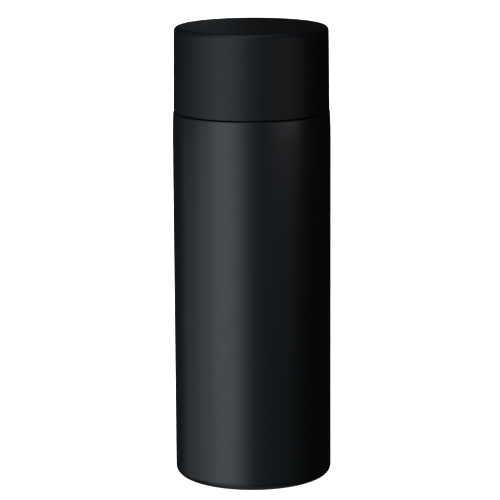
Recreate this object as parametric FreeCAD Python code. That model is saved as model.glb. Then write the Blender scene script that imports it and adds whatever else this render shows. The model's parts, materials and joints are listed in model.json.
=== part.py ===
"""A slim double-walled vacuum flask with a tall screw lid, in millimetres.

The flask stands on z = 0 and its axis is +Z. A painted steel outer shell and a steel inner flask are
joined at the mouth, with a vacuum between them. A plastic mouthpiece screws onto the steel neck, and
the lid screws onto the mouthpiece, with its insulated plug in the bore.
"""

import FreeCAD
import Part

import math
import os

Vector = FreeCAD.Vector
AXIS = Vector(0, 0, 1)

# ---------------------------------------------------------------- driving dimensions
BODY_R = 33.0            # outside radius of the body
TOTAL_HEIGHT = 191.0     # table to the top of the lid
SEAM_Z = 155.4           # top edge of the outer shell
SEAM_GAP = 0.5           # between the shell and the closed lid
SHELL_TOP_R = 32.7       # the shell draws in slightly towards the seam
BASE_ROUND = 4.2         # rounding at the foot of the shell
LID_BASE_R = 32.5        # lid at the seam
LID_TOP_R = 32.15        # lid at the top, with moulding draft
LID_ROUND = 3.5          # rounding at the top of the lid

STAND_OFF = 0.4          # the foot pad holds the painted shell this far off the table
SHELL_T = 0.45           # outer shell sheet
INNER_T = 0.35           # inner flask sheet
PLATE_T = 0.45           # base plate sheet
VACUUM_GAP = 3.4         # between the two walls
NECK_GAP = 0.6           # between the two walls at the neck
SLIP = 0.1               # between pieces that are glued, welded or pressed together

# screw threads: three starts, right-handed
LEAD = 12.0              # rise per turn, shared by the lid and the mouthpiece
STARTS = 3
FLANK_GAP = 0.18         # between the flanks that carry the load
BITE = 0.3               # how deep a ridge is rooted in its wall

# ---------------------------------------------------------------- places worked out from them
INNER_R = BODY_R - SHELL_T - VACUUM_GAP          # outside radius of the inner flask
HEM_R = 26.0                                     # inside of the shell's turned-up hem
NECK_R = 22.9                                    # outside radius of the steel neck
NECK_TOP_Z = SEAM_Z + 13.0                       # top of the outer wall at the neck
RIM_Z = NECK_TOP_Z + INNER_T + 0.05              # top of the welded steel rim
MOUTH_R = NECK_R - SHELL_T - NECK_GAP - INNER_T  # clear radius of the steel mouth
INNER_FLOOR_Z = 13.5                             # underside of the inner flask
INNER_JOINT_Z = INNER_FLOOR_Z + 7.5              # where its bottom is welded on
PLATE_Z = 10.5                                   # top of the vacuum base plate
COVER_Z = 1.9                                    # underside of the base cover, where the pad is bonded

COLLAR_R = 25.5                                  # root radius of the mouthpiece's outer thread
COLLAR_BORE_R = 23.9                             # collar inside, round the steel neck
COLLAR_Z = SEAM_Z + 3.6                          # underside of the mouthpiece
SPOUT_BORE_R = 19.8                              # bore that the plug enters
SPOUT_SKIRT_R = MOUTH_R - 0.3                    # the skirt inside the steel neck
SPOUT_Z = SEAM_Z + 5.8                           # bottom of that skirt
WEB_Z = RIM_Z + 1.15                             # underside of the web above the steel rim
LIP_Z = SEAM_Z + 19.4                            # top of the drinking lip

LID_Z = SEAM_Z + SEAM_GAP                        # underside of the lid
LID_WALL = 1.8
LID_ROOF = 2.0
LINER_Z = LID_Z + 0.9                            # underside of the liner's flange
LINER_ROOT_R = 26.9                              # root radius of the lid's inner thread
LINER_R = 28.6                                   # outside of the threaded skirt
CEILING_Z = LIP_Z + 0.6                          # underside of the liner's ceiling
CEILING_T = 1.6
PLUG_R = 18.6
PLUG_WELL_R = 15.8
PLUG_Z = SPOUT_Z + 0.8                           # bottom of the plug
GROOVE_R = 17.2                                  # floor of the gasket groove
GROOVE_Z = (PLUG_Z + 1.8, PLUG_Z + 4.6)          # bottom and top of the gasket groove


# ---------------------------------------------------------------- outlines
def offset_corners(corners, thickness):
    """The corners of a path moved to its left by thickness, each with its bend radius changed to match."""
    moved = []
    for n, (r, z, *bend) in enumerate(corners):
        normals, directions = [], []
        for a, b in ((n - 1, n), (n, n + 1)):
            if a < 0 or b >= len(corners):
                continue
            dr = corners[b][0] - corners[a][0]
            dz = corners[b][1] - corners[a][1]
            length = math.hypot(dr, dz)
            directions.append((dr / length, dz / length))
            normals.append((-dz / length, dr / length))
        first, last = normals[0], normals[-1]
        share = thickness / (1 + first[0] * last[0] + first[1] * last[1])
        if len(normals) == 1:
            share = thickness / 2
        radius = bend[0] if bend else 0.0
        before, after = directions[0], directions[-1]
        turns_left = before[0] * after[1] - before[1] * after[0] > 0
        if radius:
            radius = max(0.0, radius - thickness if turns_left else radius + thickness)
        moved.append((r + share * (first[0] + last[0]), z + share * (first[1] + last[1]), radius))
    return moved


def sheet_outline(corners, thickness):
    """A closed outline of bent sheet, from the corners of one of its faces."""
    return list(corners) + offset_corners(corners, thickness)[::-1]


def outline_face(corners):
    """A face in the XZ plane from corners (r, z) or (r, z, rounding radius)."""
    count = len(corners)
    points = [Vector(c[0], 0, c[1]) for c in corners]
    ends = []
    for n, corner in enumerate(corners):
        radius = corner[2] if len(corner) > 2 else 0.0
        here = points[n]
        to_last = (points[n - 1] - here).normalize()
        to_next = (points[(n + 1) % count] - here).normalize()
        half = to_last.getAngle(to_next) / 2
        if radius < 1e-6:
            ends.append((here, None, here))
            continue
        reach = radius / math.tan(half)
        centre = here + (to_last + to_next).normalize() * (radius / math.sin(half))
        middle = centre + (here - centre).normalize() * radius
        ends.append((here + to_last * reach, middle, here + to_next * reach))
    edges = []
    for n, (start, middle, end) in enumerate(ends):
        if middle is not None:
            edges.append(Part.Arc(start, middle, end).toShape())
        following = ends[(n + 1) % count][0]
        if (following - end).Length > 1e-6:
            edges.append(Part.LineSegment(end, following).toShape())
    return Part.Face(Part.Wire(edges))


def lathe(corners):
    """A solid of revolution about the flask's axis."""
    return outline_face(corners).revolve(Vector(0, 0, 0), AXIS, 360)


def thread_ridge(root_r, crest_r, root_half, crest_half, start_z, start_deg, sweep_deg):
    """One start of a screw thread: a helical ridge that stands on root_r and reaches crest_r."""
    rooted_r = root_r - math.copysign(BITE, crest_r - root_r)
    section = [
        (rooted_r, -root_half),
        (root_r, -root_half),
        (crest_r, -crest_half),
        (crest_r, crest_half),
        (root_r, root_half),
        (rooted_r, root_half),
    ]
    points = [Vector(r, 0, z) for r, z in section]
    profile = Part.makePolygon(points + points[:1])
    helix = Part.Wire(Part.makeHelix(LEAD, LEAD * sweep_deg / 360, root_r).Edges)
    ridge = helix.makePipeShell([profile], True, True)
    ridge.rotate(Vector(0, 0, 0), AXIS, start_deg)
    ridge.translate(AXIS * start_z)
    return ridge


def threaded(body, **ridge):
    """body with the same ridge repeated for each start."""
    first = thread_ridge(**ridge)
    starts = []
    for n in range(STARTS):
        copy = first.copy()
        copy.rotate(Vector(0, 0, 0), AXIS, n * 360 / STARTS)
        starts.append(copy)
    return body.fuse(starts).removeSplitter()


# ---------------------------------------------------------------- threads
# A lid ridge lies under a mouthpiece ridge, and a mouthpiece ridge under a neck ridge, with FLANK_GAP between.
OUTER_THREAD = {
    "root_r": COLLAR_R, "crest_r": COLLAR_R + 1.1, "root_half": 1.1, "crest_half": 0.5,
    "start_z": SEAM_Z + 6.8, "start_deg": 0, "sweep_deg": 150,
}
LID_THREAD = {
    "root_r": LINER_ROOT_R, "crest_r": LINER_ROOT_R - 1.0, "root_half": 0.95, "crest_half": 0.45,
    "start_z": SEAM_Z + 6.8, "start_deg": 30, "sweep_deg": 110,
}
NECK_THREAD = {
    "root_r": NECK_R, "crest_r": NECK_R + 0.7, "root_half": 0.9, "crest_half": 0.4,
    "start_z": SEAM_Z + 7.0, "start_deg": 0, "sweep_deg": 120,
}
COLLAR_THREAD = {
    "root_r": COLLAR_BORE_R, "crest_r": COLLAR_BORE_R - 0.7, "root_half": 0.8, "crest_half": 0.35,
    "start_z": SEAM_Z + 7.0, "start_deg": 20, "sweep_deg": 100,
}


def half_width(thread, radius):
    """Half of a ridge's axial width at a radius on its flank."""
    share = (radius - thread["root_r"]) / (thread["crest_r"] - thread["root_r"])
    return thread["root_half"] + share * (thread["crest_half"] - thread["root_half"])


def under(lower, upper):
    """The lower thread's ridge, placed under the upper thread's ridge with FLANK_GAP between their flanks."""
    middle_r = (lower["crest_r"] + upper["crest_r"]) / 2
    drop = half_width(lower, middle_r) + half_width(upper, middle_r) + FLANK_GAP
    turned = LEAD * (lower["start_deg"] - upper["start_deg"]) / 360
    return {**lower, "start_z": upper["start_z"] + turned - drop}


# ---------------------------------------------------------------- vacuum vessel
def outer_shell():
    """The painted outer wall: hem, base rounding, side, shoulder and neck with its rolled thread."""
    outside = [
        (HEM_R, STAND_OFF + 4.0),
        (HEM_R, STAND_OFF, 1.2),
        (BODY_R, STAND_OFF, BASE_ROUND),
        (BODY_R, SEAM_Z - 6.0, 190.0),
        (SHELL_TOP_R, SEAM_Z, 0.8),
        (SHELL_TOP_R - 2.5, SEAM_Z, 1.5),
        (NECK_R, SEAM_Z + 2.4, 1.5),
        (NECK_R, NECK_TOP_Z),
    ]
    return threaded(lathe(sheet_outline(outside, SHELL_T)), **NECK_THREAD)


def inner_flask():
    """The inner wall: straight side, shoulder, neck and the rim that is welded to the outer wall."""
    neck_r = MOUTH_R + INNER_T
    outside = [
        (INNER_R, INNER_JOINT_Z),
        (INNER_R, SEAM_Z - 13.0, 10.0),
        (neck_r, SEAM_Z - 3.5, 5.0),
        (neck_r, RIM_Z - INNER_T, 0.3),
        (NECK_R, RIM_Z - INNER_T),
    ]
    return lathe(sheet_outline(outside, INNER_T))


FLOOR_RISE = 0.8         # the middle of the inner flask's bottom stands higher than its edge


def inner_flask_bottom():
    """The dished bottom that is welded to the inner wall."""
    outside = [
        (0, INNER_FLOOR_Z + FLOOR_RISE),
        (15.0, INNER_FLOOR_Z + FLOOR_RISE, 2.0),
        (17.5, INNER_FLOOR_Z, 2.0),
        (INNER_R, INNER_FLOOR_Z, 6.5),
        (INNER_R, INNER_JOINT_Z),
    ]
    return lathe(sheet_outline(outside, INNER_T))


DIMPLE_RISE = 1.2        # the dimple that holds the sealing bead
VENT_R = 1.0             # the hole that the air was drawn through


def vacuum_base():
    """The plate that closes the vacuum, with the vent hole in a dimple."""
    flange_r = BODY_R - SHELL_T - SLIP
    top = [
        (flange_r, PLATE_Z - 4.5),
        (flange_r, PLATE_Z, 2.5),
        (8.0, PLATE_Z, 1.0),
        (6.5, PLATE_Z + DIMPLE_RISE, 1.0),
        (VENT_R, PLATE_Z + DIMPLE_RISE),
    ]
    return lathe(sheet_outline(top, PLATE_T))


def vacuum_seal_bead():
    """The solder bead that fills the vent from below."""
    face_z = PLATE_Z + DIMPLE_RISE - PLATE_T
    plug_r = VENT_R - 0.05
    return lathe([
        (0, face_z - 0.9),
        (3.0, face_z - 0.9, 0.6),
        (3.9, face_z),
        (plug_r, face_z),
        (plug_r, face_z + PLATE_T + 0.2, 0.2),
        (0, face_z + PLATE_T + 0.2),
    ])


GETTER_X = 16.0
GETTER_R = 4.5
GETTER_T = 2.0


def getter_pellet():
    """The metal pellet that soaks up stray gas in the vacuum."""
    pellet = Part.makeCylinder(GETTER_R, GETTER_T, Vector(GETTER_X, 0, PLATE_Z))
    return pellet.makeChamfer(0.3, pellet.Edges)


def getter_clip():
    """The strap that is spot-welded over the pellet."""
    strap_t, strap_width, side_y, foot_y = 0.25, 3.0, GETTER_R + 0.2, 8.0
    under_face = [
        (-foot_y, PLATE_Z),
        (-side_y, PLATE_Z, 0.3),
        (-side_y, PLATE_Z + GETTER_T, 0.3),
        (side_y, PLATE_Z + GETTER_T, 0.3),
        (side_y, PLATE_Z, 0.3),
        (foot_y, PLATE_Z),
    ]
    strap = outline_face(sheet_outline(under_face, strap_t)).extrude(Vector(0, strap_width, 0))
    strap.rotate(Vector(0, 0, 0), AXIS, 90)
    strap.translate(Vector(GETTER_X + strap_width / 2, 0, 0))
    return strap


def copper_foil():
    """The heat-reflecting foil round the inner wall, with a slit where its ends meet."""
    foil_r, foil_t, low_z, high_z = INNER_R + 0.1, 0.1, INNER_JOINT_Z + 3.0, SEAM_Z - 20.0
    foil = lathe([(foil_r, low_z), (foil_r + foil_t, low_z), (foil_r + foil_t, high_z), (foil_r, high_z)])
    slit = Part.makeBox(4.0, 1.0, high_z, Vector(foil_r - 2.0, -0.5, 0))
    return foil.cut(slit)


def copper_foil_disc():
    """The foil disc under the raised middle of the inner flask's bottom."""
    disc_r, foil_t, seat_z = 13.5, 0.1, INNER_FLOOR_Z + FLOOR_RISE - SLIP
    return lathe([(0, seat_z - foil_t), (disc_r, seat_z - foil_t), (disc_r, seat_z), (0, seat_z)])


def base_cover():
    """The bare steel dish that is pressed into the shell's hem."""
    rim_r = HEM_R - SLIP
    underside = [
        (rim_r, COVER_Z + 3.2),
        (rim_r, COVER_Z, 1.0),
        (12.5, COVER_Z, 0.6),
        (11.5, COVER_Z + 0.8, 0.6),
        (0, COVER_Z + 0.8),
    ]
    return lathe(sheet_outline(underside, -PLATE_T))


PAD_INNER_R = 13.5
PAD_OUTER_R = 24.5
ADHESIVE_T = 0.15


def foot_pad():
    """The silicone ring that the flask stands on, with grooves for grip."""
    edge, groove_width, groove_depth = 0.4, 0.8, 0.6
    top_z = COVER_Z - ADHESIVE_T
    pad = lathe([
        (PAD_INNER_R, 0, edge), (PAD_OUTER_R, 0, edge), (PAD_OUTER_R, top_z), (PAD_INNER_R, top_z),
    ])
    for middle_r in (16.5, 19.0, 21.5):
        near, far = middle_r - groove_width / 2, middle_r + groove_width / 2
        groove = [(near, -1), (far, -1), (far, groove_depth), (near, groove_depth)]
        pad = pad.cut(lathe(groove))
    return pad


def foot_pad_adhesive():
    """The ring of double-sided film that holds the pad to the base cover."""
    inner_r, outer_r, low_z = PAD_INNER_R + 0.4, PAD_OUTER_R - 0.4, COVER_Z - ADHESIVE_T
    return lathe([(inner_r, low_z), (outer_r, low_z), (outer_r, COVER_Z), (inner_r, COVER_Z)])


# ---------------------------------------------------------------- mouthpiece
def mouthpiece():
    """The drinking mouthpiece: a collar over the steel neck, a skirt inside it, and the lip."""
    collar = lathe([
        (COLLAR_BORE_R, COLLAR_Z, 0.3),
        (COLLAR_R + 1.0, COLLAR_Z, 0.3),
        (COLLAR_R + 1.0, COLLAR_Z + 1.2, 0.3),
        (COLLAR_R, COLLAR_Z + 1.2, 0.2),
        (COLLAR_R, LIP_Z - 3.6, 2.0),
        (COLLAR_R - 0.6, LIP_Z, 0.9),
        (COLLAR_R - 2.6, LIP_Z, 0.9),
        (SPOUT_BORE_R, LIP_Z - 5.0, 2.0),
        (SPOUT_BORE_R, SPOUT_Z, 0.5),
        (SPOUT_SKIRT_R, SPOUT_Z, 0.5),
        (SPOUT_SKIRT_R, WEB_Z),
        (COLLAR_BORE_R, WEB_Z),
    ])
    collar = threaded(collar, **OUTER_THREAD)
    return threaded(collar, **under(COLLAR_THREAD, NECK_THREAD))


def mouthpiece_gasket():
    """The flat silicone ring between the mouthpiece and the steel rim."""
    inner_r, outer_r = SPOUT_SKIRT_R + SLIP, COLLAR_BORE_R - SLIP
    low_z, high_z = RIM_Z + SLIP, WEB_Z - SLIP
    return lathe([
        (inner_r, low_z, 0.25), (outer_r, low_z, 0.25), (outer_r, high_z, 0.25), (inner_r, high_z, 0.25),
    ])


# ---------------------------------------------------------------- lid
def lid_cover():
    """The outer skin of the lid, with a slight draft and a rounded top edge."""
    inner_top_r = LID_TOP_R - LID_WALL
    return lathe([
        (LID_BASE_R - LID_WALL, LID_Z, 0.3),
        (LID_BASE_R, LID_Z, 0.4),
        (LID_TOP_R, TOTAL_HEIGHT, LID_ROUND),
        (0, TOTAL_HEIGHT),
        (0, TOTAL_HEIGHT - LID_ROOF),
        (inner_top_r, TOTAL_HEIGHT - LID_ROOF, 2.0),
    ])


WELL_FLOOR_T = 1.5       # floor of the plug's well
WELL_CAP_T = 1.2         # the disc that shuts the well
RIB_COUNT = 12           # ribs that centre the liner in the cover
RIB_T = 1.2


def lid_liner():
    """The threaded inner cap: skirt with its flange, ceiling, and the hollow plug with a gasket groove."""
    flange_r = LID_BASE_R - LID_WALL - SLIP
    top_z = CEILING_Z + CEILING_T
    groove_low, groove_high = GROOVE_Z
    liner = lathe([
        (LINER_ROOT_R, LINER_Z, 0.3),
        (flange_r, LINER_Z, 0.3),
        (flange_r, LINER_Z + 1.4),
        (LINER_R, LINER_Z + 1.4),
        (LINER_R, top_z, 1.0),
        (PLUG_WELL_R, top_z),
        (PLUG_WELL_R, PLUG_Z + WELL_FLOOR_T, 1.0),
        (0, PLUG_Z + WELL_FLOOR_T),
        (0, PLUG_Z),
        (PLUG_R, PLUG_Z, 0.8),
        (PLUG_R, groove_low),
        (GROOVE_R, groove_low),
        (GROOVE_R, groove_high),
        (PLUG_R, groove_high),
        (PLUG_R, CEILING_Z, 0.6),
        (LINER_ROOT_R, CEILING_Z, 0.6),
    ])
    liner = threaded(liner, **under(LID_THREAD, OUTER_THREAD))
    rib_low, rib_high = LINER_Z + 1.0, CEILING_Z - 2.0
    rib_r = LID_TOP_R - LID_WALL - SLIP
    rib = Part.makeBox(rib_r - LINER_R + BITE, RIB_T, rib_high - rib_low)
    rib.translate(Vector(LINER_R - BITE, -RIB_T / 2, rib_low))
    ribs = []
    for n in range(RIB_COUNT):
        copy = rib.copy()
        copy.rotate(Vector(0, 0, 0), AXIS, n * 360 / RIB_COUNT)
        ribs.append(copy)
    return liner.fuse(ribs).removeSplitter()


def plug_insulation():
    """The foam puck in the plug."""
    foam_r, low_z, high_z = PLUG_WELL_R - SLIP, PLUG_Z + WELL_FLOOR_T, CEILING_Z + CEILING_T - SLIP
    return lathe([(0, low_z), (foam_r, low_z, 1.2), (foam_r, high_z), (0, high_z)])


def plug_well_cap():
    """The disc that shuts the plug's well."""
    seat_z = CEILING_Z + CEILING_T
    return lathe([
        (0, seat_z),
        (PLUG_WELL_R + 3.0, seat_z),
        (PLUG_WELL_R + 3.0, seat_z + WELL_CAP_T, 0.3),
        (0, seat_z + WELL_CAP_T),
    ])


def lid_insulation():
    """The foam disc between the liner and the roof of the lid."""
    foam_r = LID_TOP_R - LID_WALL - 1.0
    low_z, high_z = CEILING_Z + CEILING_T + WELL_CAP_T + SLIP, TOTAL_HEIGHT - LID_ROOF - SLIP
    return lathe([(0, low_z), (foam_r, low_z, 0.5), (foam_r, high_z, 2.0), (0, high_z)])


def plug_gasket():
    """The silicone ring that seals the plug in the bore, with one lip."""
    inner_r, lip_r = GROOVE_R + SLIP, SPOUT_BORE_R - 0.15
    low_z, high_z = GROOVE_Z[0] + SLIP, GROOVE_Z[1] - SLIP
    return lathe([
        (inner_r, low_z, 0.2),
        (PLUG_R - 0.1, low_z, 0.2),
        (lip_r, high_z - 0.9, 0.2),
        (lip_r, high_z - 0.3, 0.1),
        (PLUG_R, high_z, 0.2),
        (inner_r, high_z, 0.2),
    ])


# ---------------------------------------------------------------- export
PIECES = (
    outer_shell, inner_flask, inner_flask_bottom, vacuum_base, vacuum_seal_bead, getter_pellet, getter_clip,
    copper_foil, copper_foil_disc, base_cover, foot_pad, foot_pad_adhesive, mouthpiece, mouthpiece_gasket,
    lid_cover, lid_liner, plug_insulation, plug_well_cap, lid_insulation, plug_gasket,
)


def main():
    os.makedirs("parts", exist_ok=True)
    for piece in PIECES:
        name, shape = piece.__name__, piece()
        if len(shape.Solids) != 1 or not shape.isValid():
            raise ValueError(f"{name} isn't one valid solid")
        print(f"{name}: {shape.Volume:.0f} mm3")
        shape.Solids[0].exportStep(f"parts/{name}.step")


main()
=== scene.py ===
"""Looks of a slim vacuum flask: a satin black steel body, a matte black screw lid, and what shows when it is opened.

Outlines are (r, z) corners in millimetres about the flask's axis, and become metres in the meshes.
"""

import json
import math

import bmesh
import bpy
from mathutils import Matrix, Vector


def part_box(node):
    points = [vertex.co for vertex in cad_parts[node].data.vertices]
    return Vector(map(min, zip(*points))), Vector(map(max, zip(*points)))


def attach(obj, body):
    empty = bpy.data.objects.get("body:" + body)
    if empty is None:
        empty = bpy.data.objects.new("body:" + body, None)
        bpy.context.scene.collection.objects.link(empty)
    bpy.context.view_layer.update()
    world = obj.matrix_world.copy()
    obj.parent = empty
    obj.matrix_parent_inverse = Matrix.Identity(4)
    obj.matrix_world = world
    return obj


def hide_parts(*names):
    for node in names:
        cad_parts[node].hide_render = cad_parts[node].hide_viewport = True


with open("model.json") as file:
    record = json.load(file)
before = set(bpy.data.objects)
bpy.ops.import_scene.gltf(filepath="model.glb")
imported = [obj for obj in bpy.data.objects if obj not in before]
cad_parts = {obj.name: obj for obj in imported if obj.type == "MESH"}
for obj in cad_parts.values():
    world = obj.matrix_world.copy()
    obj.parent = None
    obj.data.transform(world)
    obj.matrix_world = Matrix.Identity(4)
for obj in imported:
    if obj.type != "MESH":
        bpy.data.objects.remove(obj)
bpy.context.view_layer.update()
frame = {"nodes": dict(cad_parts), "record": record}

MM = 0.001
TURN = 2 * math.pi


# ---------------------------------------------------------------- sizes, from the frame, in millimetres
def extent(node):
    """(largest radius, lowest z, highest z) of a CAD node."""
    low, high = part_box(node)
    return high.x / MM, low.z / MM, high.z / MM


SHELL_T = 0.45           # sheet of the outer wall
INNER_T = 0.35           # sheet of the inner wall
PLATE_T = 0.45           # sheet of the base cover
NECK_GAP = 0.6           # between the two walls at the neck
NECK_HEIGHT = 13.0       # of the outer wall, above the seam
DRAW_IN = 0.3            # of the body's side, up to the seam
LID_DRAFT = 0.35         # of the lid's side, up to its top
SLIP = 0.1               # between pieces that are glued or pressed together

BODY_R, STAND_OFF, NECK_TOP_Z = extent("outer_shell")
SEAM_Z = NECK_TOP_Z - NECK_HEIGHT
SHELL_TOP_R = BODY_R - DRAW_IN
BASE_ROUND = 3.3
HEM_R = 26.0
NECK_R = 22.9
RIM_Z = extent("inner_flask")[2]
INNER_R, INNER_FLOOR_Z, INNER_JOINT_Z = extent("inner_flask_bottom")
MOUTH_R = NECK_R - SHELL_T - NECK_GAP - INNER_T

COLLAR_R = 25.5
COLLAR_BORE_R = 23.9
COLLAR_Z, LIP_Z = extent("mouthpiece")[1:]
SPOUT_BORE_R = 19.8
SPOUT_SKIRT_R = MOUTH_R - 0.3
SPOUT_Z = SEAM_Z + 5.8
WEB_Z = RIM_Z + 1.15

LID_BASE_R, LID_Z, LID_TOP_Z = extent("lid_cover")
LID_TOP_R = LID_BASE_R - LID_DRAFT
LID_ROUND = 2.0
LID_WALL = 1.8
LID_ROOF = 2.0
LINER_Z = extent("lid_liner")[1]
LINER_ROOT_R = 26.9
LINER_R = 28.6
CEILING_Z = LIP_Z + 0.6
CEILING_T = 1.6
PLUG_R = 18.6
PLUG_WELL_R = 15.8
PLUG_Z = SPOUT_Z + 0.8
WELL_FLOOR_T = 1.5
GROOVE_R = 17.2
GROOVE_Z = (PLUG_Z + 1.8, PLUG_Z + 4.6)

LEAD = 12.0              # rise of every thread per turn
STARTS = 3
FLANK_GAP = 0.18         # between the flanks of two threads, along the axis
RUN_OUT = math.radians(14)       # over which a ridge rises at each end


# ---------------------------------------------------------------- outlines
ARC_STEP = math.radians(7.5)      # of an outline's rounded corners
TINY = 1e-6


def offset_corners(corners, thickness):
    """The corners of a path moved to its left by thickness, each with its bend radius changed to match."""
    moved = []
    for n, (r, z, *bend) in enumerate(corners):
        directions = []
        for a, b in ((n - 1, n), (n, n + 1)):
            if a < 0 or b >= len(corners):
                continue
            run = Vector((corners[b][0] - corners[a][0], corners[b][1] - corners[a][1]))
            directions.append(run.normalized())
        before, after = directions[0], directions[-1]
        left, right = Vector((-before.y, before.x)), Vector((-after.y, after.x))
        shift = (left + right) * (thickness / (1 + left.dot(right)))
        radius = bend[0] if bend else 0.0
        if radius:
            turns_left = before.x * after.y - before.y * after.x > 0
            radius = max(0.0, radius - thickness if turns_left else radius + thickness)
        moved.append((r + shift.x, z + shift.y, radius))
    return moved


def sheet_outline(corners, thickness):
    """A closed outline of bent sheet, from the corners of one of its faces."""
    return list(corners) + offset_corners(corners, thickness)[::-1]


def wall(r, low_z, high_z, spacing=0.2):
    """Close points up a straight wall, to carry a thread."""
    count = math.ceil((high_z - low_z) / spacing)
    return [(r, low_z + (high_z - low_z) * n / count) for n in range(count + 1)]


def rounded(corners):
    """The points of a closed outline, with each corner (r, z, radius) turned into an arc."""
    points = []
    count = len(corners)
    for n, (r, z, *bend) in enumerate(corners):
        here = Vector((r, z))
        radius = bend[0] if bend else 0.0
        if radius < TINY:
            points.append(here)
            continue
        to_last = (Vector(corners[n - 1][:2]) - here).normalized()
        to_next = (Vector(corners[(n + 1) % count][:2]) - here).normalized()
        half = to_last.angle(to_next) / 2
        centre = here + (to_last + to_next).normalized() * (radius / math.sin(half))
        start = here + to_last * (radius / math.tan(half)) - centre
        sweep = math.pi - 2 * half
        if to_last.y * to_next.x < to_last.x * to_next.y:
            sweep = -sweep
        steps = max(2, math.ceil(abs(sweep) / ARC_STEP))
        for k in range(steps + 1):
            points.append(centre + Matrix.Rotation(sweep * k / steps, 2) @ start)
    kept = []
    for point in points:
        if not kept or (point - kept[-1]).length > 1e-4:
            kept.append(point)
    return kept


# ---------------------------------------------------------------- meshes
SHARP_EDGE = math.radians(35)    # sharper folds than this aren't smoothed
SEGMENTS = 192                   # round the axis
SKIN_SEGMENTS = 256              # the same, on the two large outer pieces
GASKET_SEGMENTS = 160            # the same, on the gaskets


def lathe(name, corners, segments=SEGMENTS, relief=None):
    """A solid of revolution.

    relief(angle, r, z) gives how far a point stands out from the outline, in millimetres.
    """
    mesh = bmesh.new()
    rings = []
    for point in rounded(corners):
        if point.x < TINY:
            rings.append([mesh.verts.new((0, 0, point.y * MM))])
            continue
        ring = []
        for n in range(segments):
            angle = TURN * n / segments
            r = point.x + (relief(angle, point.x, point.y) if relief else 0.0)
            ring.append(mesh.verts.new((r * math.cos(angle) * MM, r * math.sin(angle) * MM, point.y * MM)))
        rings.append(ring)
    for near, far in zip(rings, rings[1:] + rings[:1]):
        for n in range(segments if max(len(near), len(far)) > 1 else 0):
            corner = [
                near[n % len(near)], near[(n + 1) % len(near)],
                far[(n + 1) % len(far)], far[n % len(far)],
            ]
            mesh.faces.new(list(dict.fromkeys(corner)))      # three corners beside the axis
    bmesh.ops.recalc_face_normals(mesh, faces=mesh.faces)
    for edge in mesh.edges:
        edge.smooth = edge.calc_face_angle(0.0) < SHARP_EDGE
    for face in mesh.faces:
        face.smooth = True
    return piece_from(name, mesh)


def piece_from(name, mesh):
    """An object from a bmesh, shaded by its larger faces so that flats stay flat beside their rounded edges."""
    data = bpy.data.meshes.new(name)
    mesh.to_mesh(data)
    mesh.free()
    piece = bpy.data.objects.new(name, data)
    bpy.context.scene.collection.objects.link(piece)
    weighted = piece.modifiers.new("even_shading", "WEIGHTED_NORMAL")
    weighted.keep_sharp = True
    return piece


def smoothstep(x):
    """From 0 to 1 with level ends, as x goes from 0 to 1."""
    x = min(1.0, max(0.0, x))
    return x * x * (3 - 2 * x)


def thread(root_r, crest_r, root_half, crest_half, start_z, start_deg, sweep_deg):
    """A relief of three-start thread ridges with run-out ends, on the wall whose radius is root_r."""
    height = crest_r - root_r
    sweep = math.radians(sweep_deg)

    def relief(angle, r, z):
        if abs(r - root_r) > 1e-3:
            return 0.0
        stand = 0.0
        for n in range(STARTS):
            along = (angle - math.radians(start_deg) - n * TURN / STARTS) % TURN
            if along > sweep:
                continue
            off = abs(z - start_z - LEAD * along / TURN)
            flank = smoothstep((root_half - off) / (root_half - crest_half))
            stand = max(stand, flank * smoothstep(min(along, sweep - along) / RUN_OUT))
        return height * stand

    return relief


def both(*reliefs):
    """The sum of several reliefs."""
    return lambda angle, r, z: sum(one(angle, r, z) for one in reliefs)


def half_width(ridge, radius):
    """Half of a ridge's axial width at a radius on its flank."""
    share = (radius - ridge["root_r"]) / (ridge["crest_r"] - ridge["root_r"])
    return ridge["root_half"] + share * (ridge["crest_half"] - ridge["root_half"])


def under(lower, upper):
    """The lower ridge, placed under the upper ridge with a small gap between their flanks."""
    middle_r = (lower["crest_r"] + upper["crest_r"]) / 2
    drop = half_width(lower, middle_r) + half_width(upper, middle_r) + FLANK_GAP
    turned = LEAD * (lower["start_deg"] - upper["start_deg"]) / 360
    return {**lower, "start_z": upper["start_z"] + turned - drop}


NECK_THREAD = {
    "root_r": NECK_R, "crest_r": NECK_R + 0.7, "root_half": 0.9, "crest_half": 0.4,
    "start_z": SEAM_Z + 7.0, "start_deg": 0, "sweep_deg": 120,
}
OUTER_THREAD = {
    "root_r": COLLAR_R, "crest_r": COLLAR_R + 1.1, "root_half": 1.1, "crest_half": 0.5,
    "start_z": SEAM_Z + 6.8, "start_deg": 0, "sweep_deg": 150,
}
COLLAR_THREAD = under({
    "root_r": COLLAR_BORE_R, "crest_r": COLLAR_BORE_R - 0.7, "root_half": 0.8, "crest_half": 0.35,
    "start_z": SEAM_Z, "start_deg": 20, "sweep_deg": 100,
}, NECK_THREAD)
LID_THREAD = under({
    "root_r": LINER_ROOT_R, "crest_r": LINER_ROOT_R - 1.0, "root_half": 0.95, "crest_half": 0.45,
    "start_z": SEAM_Z, "start_deg": 30, "sweep_deg": 110,
}, OUTER_THREAD)


def thread_wall(ridge):
    """The stretch of wall that a thread stands on, as close points, upwards."""
    low = ridge["start_z"] - ridge["root_half"]
    high = ridge["start_z"] + LEAD * ridge["sweep_deg"] / 360 + ridge["root_half"]
    return wall(ridge["root_r"], low, high)


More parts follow.
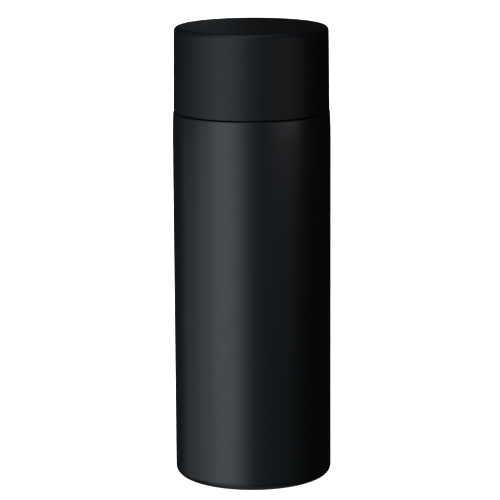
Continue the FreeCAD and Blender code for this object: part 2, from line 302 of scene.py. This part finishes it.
# ---------------------------------------------------------------- materials
class Finish:
    """A node-based material, built up from a few kinds of step."""

    def __init__(self, name, colour, roughness, **constants):
        self.material = bpy.data.materials.new(name)
        self.material.use_nodes = True
        self.tree = self.material.node_tree
        self.shader = self.tree.nodes["Principled BSDF"]
        self.shader.inputs["Base Color"].default_value = (*colour, 1)
        self.shader.inputs["Roughness"].default_value = roughness
        for socket, value in constants.items():
            self.shader.inputs[socket.replace("_", " ")].default_value = value
        self.place = self.tree.nodes.new("ShaderNodeTexCoord").outputs["Object"]

    def link(self, source, target):
        self.tree.links.new(source, target)

    def stretched(self, scale):
        """The place on the piece, scaled along each axis."""
        mapping = self.tree.nodes.new("ShaderNodeMapping")
        mapping.inputs["Scale"].default_value = scale
        self.link(self.place, mapping.inputs["Vector"])
        return mapping.outputs["Vector"]

    def noise(self, size_mm, detail=2.0, stretch=None):
        """A noise whose features are about size_mm across."""
        node = self.tree.nodes.new("ShaderNodeTexNoise")
        node.inputs["Scale"].default_value = 1 / (size_mm * MM)
        node.inputs["Detail"].default_value = detail
        self.link(self.stretched(stretch) if stretch else self.place, node.inputs["Vector"])
        return node.outputs["Fac"]

    def between(self, factor, low, high):
        """A noise's usual range, 0.3 to 0.7, spread from low to high."""
        node = self.tree.nodes.new("ShaderNodeMapRange")
        node.inputs["From Min"].default_value = 0.3
        node.inputs["From Max"].default_value = 0.7
        node.inputs["To Min"].default_value = low
        node.inputs["To Max"].default_value = high
        self.link(factor, node.inputs["Value"])
        return node.outputs["Result"]

    def colours(self, factor, low, high):
        """Base colour from low to high over a noise."""
        node = self.tree.nodes.new("ShaderNodeMix")
        node.data_type = "RGBA"
        node.inputs["A"].default_value = (*low, 1)
        node.inputs["B"].default_value = (*high, 1)
        self.link(self.between(factor, 0.0, 1.0), node.inputs["Factor"])
        self.link(node.outputs["Result"], self.shader.inputs["Base Color"])

    def roughness(self, factor, low, high):
        """Roughness from low to high over a noise."""
        self.link(self.between(factor, low, high), self.shader.inputs["Roughness"])

    def bump(self, factor, depth_mm):
        """Unevenness of depth_mm from the low to the high of a noise."""
        node = self.tree.nodes.new("ShaderNodeBump")
        node.inputs["Strength"].default_value = 1.0
        node.inputs["Distance"].default_value = depth_mm * MM
        self.link(factor, node.inputs["Height"])
        self.link(node.outputs["Normal"], self.shader.inputs["Normal"])


def satin_paint():
    """Satin black paint with a faint orange peel."""
    finish = Finish("satin_black_paint", (0.010, 0.0115, 0.0125), 0.33, Specular_IOR_Level=0.5)
    finish.colours(finish.noise(18.0), (0.0095, 0.011, 0.012), (0.0105, 0.012, 0.013))
    finish.roughness(finish.noise(6.0, 4.0), 0.315, 0.345)
    finish.bump(finish.noise(0.9, 3.0), 0.003)
    return finish.material


def moulded_black():
    """Matte black plastic with the fine spark-eroded grain of its mould."""
    finish = Finish("moulded_matte_black", (0.008, 0.009, 0.010), 0.46, Specular_IOR_Level=0.34)
    finish.colours(finish.noise(12.0), (0.0075, 0.0085, 0.0095), (0.0085, 0.0095, 0.0105))
    finish.roughness(finish.noise(5.0, 4.0), 0.45, 0.48)
    finish.bump(finish.noise(0.25, 2.0), 0.005)
    return finish.material


def liner_plastic():
    """The lid's inner plastic, smoother than its skin."""
    finish = Finish("liner_dark_grey", (0.030, 0.031, 0.033), 0.36)
    finish.colours(finish.noise(9.0), (0.028, 0.029, 0.031), (0.032, 0.033, 0.035))
    finish.roughness(finish.noise(4.0, 3.0), 0.32, 0.40)
    finish.bump(finish.noise(0.6), 0.003)
    return finish.material


def mouthpiece_plastic():
    """Smooth black plastic."""
    finish = Finish("mouthpiece_black", (0.020, 0.0205, 0.021), 0.30)
    finish.colours(finish.noise(9.0), (0.019, 0.0195, 0.020), (0.021, 0.0215, 0.022))
    finish.roughness(finish.noise(3.0), 0.28, 0.32)
    finish.bump(finish.noise(0.8), 0.001)
    return finish.material


def turned_steel():
    """Bare steel with fine lines that run round the axis."""
    finish = Finish("turned_steel", (0.60, 0.60, 0.59), 0.26, Metallic=1.0)
    lines = finish.noise(1.0, 2.0, (0.02, 0.02, 9.0))
    finish.colours(finish.noise(7.0, 3.0), (0.56, 0.56, 0.55), (0.64, 0.64, 0.63))
    finish.roughness(lines, 0.20, 0.34)
    finish.bump(lines, 0.002)
    return finish.material


def pale_silicone():
    """Milky silicone, which lets a little light in."""
    finish = Finish(
        "pale_silicone", (0.62, 0.63, 0.63), 0.48, Subsurface_Weight=0.15, Subsurface_Scale=0.0015)
    finish.colours(finish.noise(5.0), (0.60, 0.61, 0.61), (0.65, 0.66, 0.66))
    finish.roughness(finish.noise(1.5, 3.0), 0.43, 0.54)
    finish.bump(finish.noise(0.4), 0.004)
    return finish.material


def dark_silicone():
    """Matt dark silicone of the foot."""
    finish = Finish("dark_silicone", (0.028, 0.028, 0.030), 0.62)
    finish.colours(finish.noise(4.0, 3.0), (0.024, 0.024, 0.026), (0.034, 0.034, 0.036))
    finish.roughness(finish.noise(1.5, 3.0), 0.56, 0.70)
    finish.bump(finish.noise(0.3), 0.008)
    return finish.material


def white_foam():
    """Open white foam."""
    finish = Finish("white_foam", (0.80, 0.80, 0.78), 0.80, Subsurface_Weight=0.1, Subsurface_Scale=0.001)
    finish.colours(finish.noise(2.0, 3.0), (0.74, 0.74, 0.72), (0.84, 0.84, 0.82))
    finish.bump(finish.noise(1.2, 3.0), 0.15)
    return finish.material


def copper():
    """Thin foil with the faint creases of wrapping."""
    finish = Finish("copper_foil", (0.75, 0.36, 0.20), 0.22, Metallic=1.0)
    finish.colours(finish.noise(10.0, 3.0), (0.72, 0.34, 0.19), (0.80, 0.42, 0.26))
    finish.roughness(finish.noise(3.0, 3.0), 0.16, 0.32)
    finish.bump(finish.noise(6.0, 4.0), 0.15)
    return finish.material


def solder_glass():
    """Dark glass of the bead that seals the vacuum."""
    finish = Finish("solder_glass", (0.10, 0.12, 0.11), 0.12)
    finish.colours(finish.noise(2.0), (0.08, 0.10, 0.09), (0.13, 0.15, 0.14))
    finish.roughness(finish.noise(1.0), 0.08, 0.18)
    return finish.material


def getter_metal():
    """The pressed powder of the getter."""
    finish = Finish("getter_metal", (0.22, 0.22, 0.23), 0.6, Metallic=1.0)
    finish.colours(finish.noise(0.5, 3.0), (0.18, 0.18, 0.19), (0.27, 0.27, 0.28))
    finish.bump(finish.noise(0.3, 3.0), 0.03)
    return finish.material


def adhesive_film():
    """Double-sided film, seen only at its edge."""
    finish = Finish("adhesive_film", (0.48, 0.47, 0.43), 0.6)
    finish.colours(finish.noise(3.0), (0.45, 0.44, 0.40), (0.51, 0.50, 0.46))
    finish.roughness(finish.noise(1.5), 0.55, 0.68)
    return finish.material


FINISHES = {
    "powder_coat": satin_paint(),
    "lid_plastic": moulded_black(),
    "liner_plastic": liner_plastic(),
    "mouthpiece_plastic": mouthpiece_plastic(),
    "steel": turned_steel(),
    "clear_silicone": pale_silicone(),
    "dark_silicone": dark_silicone(),
    "adhesive_film": adhesive_film(),
    "foam": white_foam(),
    "copper": copper(),
    "seal_glass": solder_glass(),
    "getter_metal": getter_metal(),
}
NODE_SLOTS = {part["node"]: part["material_slot"] for part in frame["record"]["subparts"]}
NODE_BODIES = {
    node: body for body, nodes in frame["record"]["behaviour"]["bodies"].items() for node in nodes
}


# ---------------------------------------------------------------- the outer wall and the lid
PAINT_EDGE_Z = SEAM_Z + 2.6      # bare steel above this


def outer_wall():
    """The painted wall, with its hem, shoulder and bare steel neck."""
    outside = [
        (HEM_R, STAND_OFF + 4.0),
        (HEM_R, STAND_OFF, 1.2),
        (BODY_R, STAND_OFF, BASE_ROUND),
        (BODY_R, SEAM_Z - 6.0, 190.0),
        (SHELL_TOP_R, SEAM_Z, 0.35),
        (SHELL_TOP_R - 2.5, SEAM_Z, 1.5),
        (NECK_R, SEAM_Z + 2.4, 1.5),
        (NECK_R, NECK_TOP_Z),
    ]
    closed = sheet_outline(outside, SHELL_T)
    neck_foot = outside.index((NECK_R, SEAM_Z + 2.4, 1.5))
    closed[neck_foot + 1:neck_foot + 1] = thread_wall(NECK_THREAD)
    shell = lathe("outer_wall", closed, SKIN_SEGMENTS, thread(**NECK_THREAD))
    shell.data.materials.append(FINISHES["powder_coat"])
    shell.data.materials.append(FINISHES["steel"])
    for face in shell.data.polygons:
        if face.center.z > PAINT_EDGE_Z * MM:
            face.material_index = 1
    return shell


def lid_skin():
    """The lid's outer skin, with a slight draft and a rounded top edge."""
    inner_top_r = LID_TOP_R - LID_WALL
    return lathe("lid_skin", [
        (LID_BASE_R - LID_WALL, LID_Z, 0.3),
        (LID_BASE_R, LID_Z, 0.2),
        (LID_TOP_R, LID_TOP_Z, LID_ROUND),
        (20.0, LID_TOP_Z),
        (8.0, LID_TOP_Z),
        (0, LID_TOP_Z),
        (0, LID_TOP_Z - LID_ROOF),
        (inner_top_r, LID_TOP_Z - LID_ROOF, 2.0),
    ], SKIN_SEGMENTS)


def lid_inner_cap():
    """The threaded inner cap, with the plug and its gasket groove."""
    flange_r = LID_BASE_R - LID_WALL - SLIP
    top_z = CEILING_Z + CEILING_T
    groove_low, groove_high = GROOVE_Z
    corners = [
        (LINER_ROOT_R, LINER_Z, 0.3),
        (flange_r, LINER_Z, 0.3),
        (flange_r, LINER_Z + 1.4),
        (LINER_R, LINER_Z + 1.4),
        (LINER_R, top_z, 1.0),
        (PLUG_WELL_R, top_z),
        (PLUG_WELL_R, PLUG_Z + WELL_FLOOR_T, 1.0),
        (0, PLUG_Z + WELL_FLOOR_T),
        (0, PLUG_Z),
        (PLUG_R, PLUG_Z, 0.8),
        (PLUG_R, groove_low, 0.15),
        (GROOVE_R, groove_low),
        (GROOVE_R, groove_high),
        (PLUG_R, groove_high, 0.15),
        (PLUG_R, CEILING_Z, 0.6),
        (LINER_ROOT_R, CEILING_Z, 0.6),
    ]
    corners += thread_wall(LID_THREAD)[::-1]
    return lathe("lid_inner_cap", corners, SEGMENTS, thread(**LID_THREAD))


def drinking_mouthpiece():
    """The mouthpiece: collar with threads inside and out, skirt and lip."""
    corners = [
        (COLLAR_BORE_R, COLLAR_Z, 0.3),
        (COLLAR_R + 1.0, COLLAR_Z, 0.3),
        (COLLAR_R + 1.0, COLLAR_Z + 1.2, 0.3),
        (COLLAR_R, COLLAR_Z + 1.2, 0.2),
    ]
    corners += thread_wall(OUTER_THREAD)
    corners += [
        (COLLAR_R, LIP_Z - 3.6, 2.0),
        (COLLAR_R - 0.6, LIP_Z, 0.9),
        (COLLAR_R - 2.6, LIP_Z, 0.9),
        (SPOUT_BORE_R, LIP_Z - 5.0, 2.0),
        (SPOUT_BORE_R, SPOUT_Z, 0.5),
        (SPOUT_SKIRT_R, SPOUT_Z, 0.5),
        (SPOUT_SKIRT_R, WEB_Z),
        (COLLAR_BORE_R, WEB_Z),
    ]
    corners += thread_wall(COLLAR_THREAD)[::-1]
    threads = both(thread(**OUTER_THREAD), thread(**COLLAR_THREAD))
    return lathe("drinking_mouthpiece", corners, SEGMENTS, threads)


def flat_gasket():
    """The ring between the steel rim and the mouthpiece's web."""
    inner_r, outer_r = SPOUT_SKIRT_R + SLIP, COLLAR_BORE_R - SLIP
    low_z, high_z = RIM_Z + SLIP, WEB_Z - SLIP
    return lathe("flat_gasket", [
        (inner_r, low_z, 0.25), (outer_r, low_z, 0.25), (outer_r, high_z, 0.25), (inner_r, high_z, 0.25),
    ], GASKET_SEGMENTS)


def lip_gasket():
    """The ring in the plug's groove, with a lip out to the mouthpiece's bore."""
    inner_r, lip_r = GROOVE_R + SLIP, SPOUT_BORE_R - 0.15
    low_z, high_z = GROOVE_Z[0] + SLIP, GROOVE_Z[1] - SLIP
    return lathe("lip_gasket", [
        (inner_r, low_z, 0.2),
        (PLUG_R - 0.1, low_z, 0.2),
        (lip_r, high_z - 0.9, 0.2),
        (lip_r, high_z - 0.3, 0.1),
        (PLUG_R, high_z, 0.2),
        (inner_r, high_z, 0.2),
    ], GASKET_SEGMENTS)


# ---------------------------------------------------------------- the bare steel
def inner_wall():
    """The wall that holds the drink, up to the rim."""
    neck_r = MOUTH_R + INNER_T
    outside = [
        (INNER_R, INNER_JOINT_Z),
        (INNER_R, SEAM_Z - 13.0, 10.0),
        (neck_r, SEAM_Z - 3.5, 5.0),
        (neck_r, RIM_Z - INNER_T, 0.3),
        (NECK_R, RIM_Z - INNER_T),
    ]
    return lathe("inner_wall", sheet_outline(outside, INNER_T))


def inner_bottom():
    """Its bottom, raised in the middle."""
    outside = [
        (0, INNER_FLOOR_Z + 0.8),
        (15.0, INNER_FLOOR_Z + 0.8, 2.0),
        (17.5, INNER_FLOOR_Z, 2.0),
        (INNER_R, INNER_FLOOR_Z, 6.5),
        (INNER_R, INNER_JOINT_Z),
    ]
    return lathe("inner_bottom", sheet_outline(outside, INNER_T))


def base_dish():
    """The dish that covers the foot, raised in the middle."""
    rim_r, low_z, _ = extent("base_cover")
    underside = [
        (rim_r, low_z + 3.2),
        (rim_r, low_z, 1.0),
        (12.5, low_z, 0.6),
        (11.5, low_z + 0.8, 0.6),
        (0, low_z + 0.8),
    ]
    return lathe("base_dish", sheet_outline(underside, -PLATE_T))


def foot_ring():
    """The silicone ring, with three round-bottomed grooves."""
    outer_r, low_z, top_z = extent("foot_pad")
    inner_r, edge = 13.5, 0.4
    groove_half, groove_depth = 0.4, 0.6
    corners = [(inner_r, top_z), (inner_r, low_z, edge)]
    for middle_r in (16.5, 19.0, 21.5):
        corners += [
            (middle_r - groove_half, low_z, 0.12),
            (middle_r - groove_half, low_z + groove_depth, 0.25),
            (middle_r + groove_half, low_z + groove_depth, 0.25),
            (middle_r + groove_half, low_z, 0.12),
        ]
    corners += [(outer_r, low_z, edge), (outer_r, top_z)]
    return lathe("foot_ring", corners)


PIECES = {
    "outer_shell": outer_wall,
    "inner_flask": inner_wall,
    "inner_flask_bottom": inner_bottom,
    "base_cover": base_dish,
    "foot_pad": foot_ring,
    "mouthpiece": drinking_mouthpiece,
    "mouthpiece_gasket": flat_gasket,
    "lid_cover": lid_skin,
    "lid_liner": lid_inner_cap,
    "plug_gasket": lip_gasket,
}


def dress():
    """Puts each new piece in place of its CAD node, and gives every other node its finish."""
    for node, make in PIECES.items():
        piece = make()
        if not piece.data.materials:
            piece.data.materials.append(FINISHES[NODE_SLOTS[node]])
        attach(piece, NODE_BODIES[node])
        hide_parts(node)
    for node, carried in frame["nodes"].items():
        if node not in PIECES:
            carried.data.materials.clear()
            carried.data.materials.append(FINISHES[NODE_SLOTS[node]])


# ---------------------------------------------------------------- camera, floor and lights
CAMERA_PLACE = Vector((0, -1.1015, 0.3190))      # metres, like all that follows
CAMERA_AIM = Vector((-0.001, 0, 0.09635))
CAMERA_ROLL = math.radians(-0.33)
SENSOR_MM = 36.0
LENS_MM = 192.5


def add_camera():
    """A long lens in front of the flask and above it, aimed at about its middle."""
    data = bpy.data.cameras.new("camera")
    data.sensor_width = SENSOR_MM
    data.lens = LENS_MM
    camera = bpy.data.objects.new("camera", data)
    turn = (CAMERA_AIM - CAMERA_PLACE).to_track_quat("-Z", "Y").to_matrix().to_4x4()
    level = Matrix.Translation(CAMERA_PLACE) @ turn
    camera.matrix_world = level @ Matrix.Rotation(CAMERA_ROLL, 4, "Z")
    bpy.context.scene.collection.objects.link(camera)
    bpy.context.scene.camera = camera


PANELS_FACE = Vector((0, 0, 0.1))


def softbox(name, azimuth, elevation, wide, high, distance, radiance, colour):
    """A soft panel that faces the flask's middle, and isn't seen itself.

    Azimuth 0 is the camera's side and grows to the right. wide and high are how large the panel
    looks from the flask. All four angles are in degrees.
    """
    data = bpy.data.lights.new(name, "AREA")
    data.shape = "RECTANGLE"
    data.size = 2 * distance * math.tan(math.radians(wide / 2))
    data.size_y = 2 * distance * math.tan(math.radians(high / 2))
    data.energy = math.pi * data.size * data.size_y * radiance
    data.color = colour
    lamp = bpy.data.objects.new(name, data)
    a, e = math.radians(azimuth), math.radians(elevation)
    away = Vector((math.sin(a) * math.cos(e), -math.cos(a) * math.cos(e), math.sin(e)))
    turn = away.to_track_quat("Z", "Y").to_matrix().to_4x4()
    lamp.matrix_world = Matrix.Translation(PANELS_FACE + away * distance) @ turn
    lamp.visible_camera = False
    bpy.context.scene.collection.objects.link(lamp)


def add_floor():
    """A wide pale floor that only the camera sees, and only from above."""
    half_width_m = 6.0
    mesh = bmesh.new()
    bmesh.ops.create_grid(mesh, x_segments=1, y_segments=1, size=half_width_m)
    data = bpy.data.meshes.new("floor")
    mesh.to_mesh(data)
    mesh.free()
    floor = bpy.data.objects.new("floor", data)
    bpy.context.scene.collection.objects.link(floor)
    finish = Finish("pale_floor", (0.85, 0.85, 0.85), 0.9, Specular_IOR_Level=0.0)
    clear = finish.tree.nodes.new("ShaderNodeBsdfTransparent")
    below = finish.tree.nodes.new("ShaderNodeNewGeometry").outputs["Backfacing"]
    mix = finish.tree.nodes.new("ShaderNodeMixShader")
    finish.link(below, mix.inputs["Fac"])
    finish.link(finish.shader.outputs["BSDF"], mix.inputs[1])
    finish.link(clear.outputs["BSDF"], mix.inputs[2])
    finish.link(mix.outputs["Shader"], finish.tree.nodes["Material Output"].inputs["Surface"])
    floor.data.materials.append(finish.material)
    floor.visible_glossy = False
    floor.visible_diffuse = False
    floor.visible_transmission = False
    floor.visible_shadow = False
    return floor


def add_world():
    """White behind the flask, and a dim even fill on it."""
    world = bpy.data.worlds.new("studio")
    bpy.context.scene.world = world
    world.use_nodes = True
    tree = world.node_tree
    fill = tree.nodes["Background"]
    fill.inputs["Color"].default_value = (0.008, 0.006, 0.007, 1)
    white = tree.nodes.new("ShaderNodeBackground")
    white.inputs["Color"].default_value = (1, 1, 1, 1)
    seen = tree.nodes.new("ShaderNodeLightPath").outputs["Is Camera Ray"]
    mix = tree.nodes.new("ShaderNodeMixShader")
    tree.links.new(seen, mix.inputs["Fac"])
    tree.links.new(fill.outputs["Background"], mix.inputs[1])
    tree.links.new(white.outputs["Background"], mix.inputs[2])
    tree.links.new(mix.outputs["Shader"], tree.nodes["World Output"].inputs["Surface"])


def light_floor(floor):
    """A broad overhead light for the floor alone, so that it is as pale as the background."""
    data = bpy.data.lights.new("floor_light", "SUN")
    data.energy = 9.0
    data.angle = math.radians(120)
    lamp = bpy.data.objects.new("floor_light", data)
    bpy.context.scene.collection.objects.link(lamp)
    only_floor = bpy.data.collections.new("lit_floor")
    only_floor.objects.link(floor)
    lamp.light_linking.receiver_collection = only_floor
    lamp.light_linking.blocker_collection = only_floor


# tints of the panels, and how far most of them stand and the close one stands
NEUTRAL = (0.93, 1.0, 1.05)
COOL = (0.84, 1.0, 1.10)
ROSY = (1.05, 0.96, 1.05)
FAR, CLOSE = 1.2, 0.3


def add_lights():
    """A key panel front left, dimmer ones round it, a bar close on the right.

    The others stand over the flask, under it and behind it, for the other sides.
    """
    softbox("key", -40, -5, 40, 45, FAR, 1.2, NEUTRAL)
    softbox("key_wide", -45, -5, 80, 50, FAR, 0.6, COOL)
    softbox("left_edge", -90, -20, 50, 30, FAR, 0.4, COOL)
    softbox("front_fill", 20, -5, 90, 40, FAR, 0.1, COOL)
    softbox("right_bar", 50, 10, 40, 10, CLOSE, 1.0, ROSY)
    softbox("high_front", -30, 50, 45, 30, FAR, 1.8, COOL)
    softbox("overhead", 0, 85, 40, 40, FAR, 0.6, COOL)
    softbox("top_stripe", -175, 25, 5, 10, CLOSE, 0.3, COOL)
    softbox("under_front", -45, -50, 45, 35, 1.0, 0.6, COOL)
    softbox("under_base", 0, -90, 45, 45, 0.6, 0.2, COOL)
    softbox("back_key", 180, -15, 25, 35, FAR, 1.2, COOL)


dress()
add_camera()
add_world()
light_floor(add_floor())
add_lights()
bpy.context.scene.view_settings.view_transform = "Standard"
